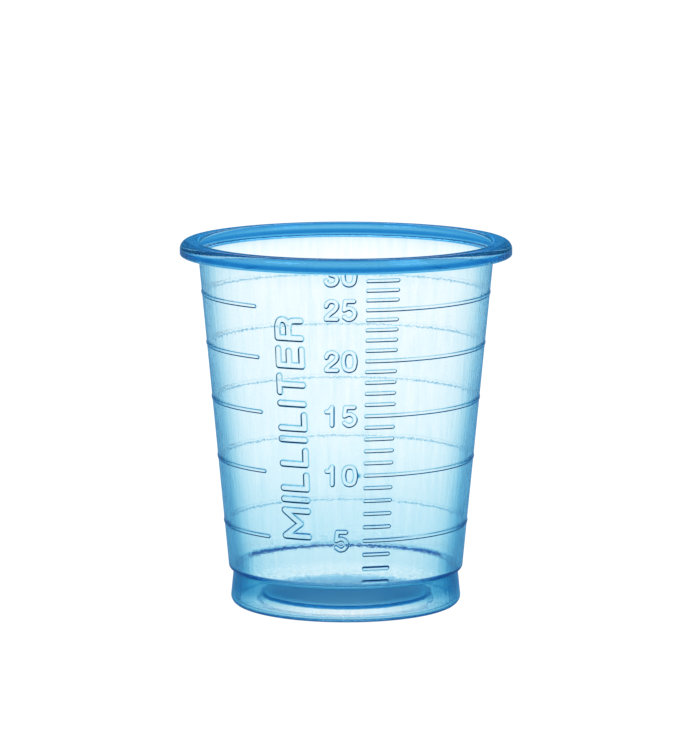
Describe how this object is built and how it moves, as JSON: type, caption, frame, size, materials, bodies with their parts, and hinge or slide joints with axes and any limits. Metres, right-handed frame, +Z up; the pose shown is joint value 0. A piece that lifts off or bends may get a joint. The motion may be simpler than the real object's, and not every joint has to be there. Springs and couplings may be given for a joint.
{
  "type": "medicine cup",
  "caption": "Small clear blue disposable dosing cup with a flared wall, a rolled-style rim bead, a stacking shoulder and a moulded millilitre scale.",
  "frame": {"origin": "on the cup's axis, at the face it stands on", "axes": "+Z up along the cup's axis to its mouth, -Y towards the figures of the scale"},
  "size_m": [0.0392, 0.0392, 0.0433],
  "materials": {
    "polypropylene": "gloss"
  },
  "bodies": {
    "root": {"cup": "polypropylene"}
  },
  "joints": []
}
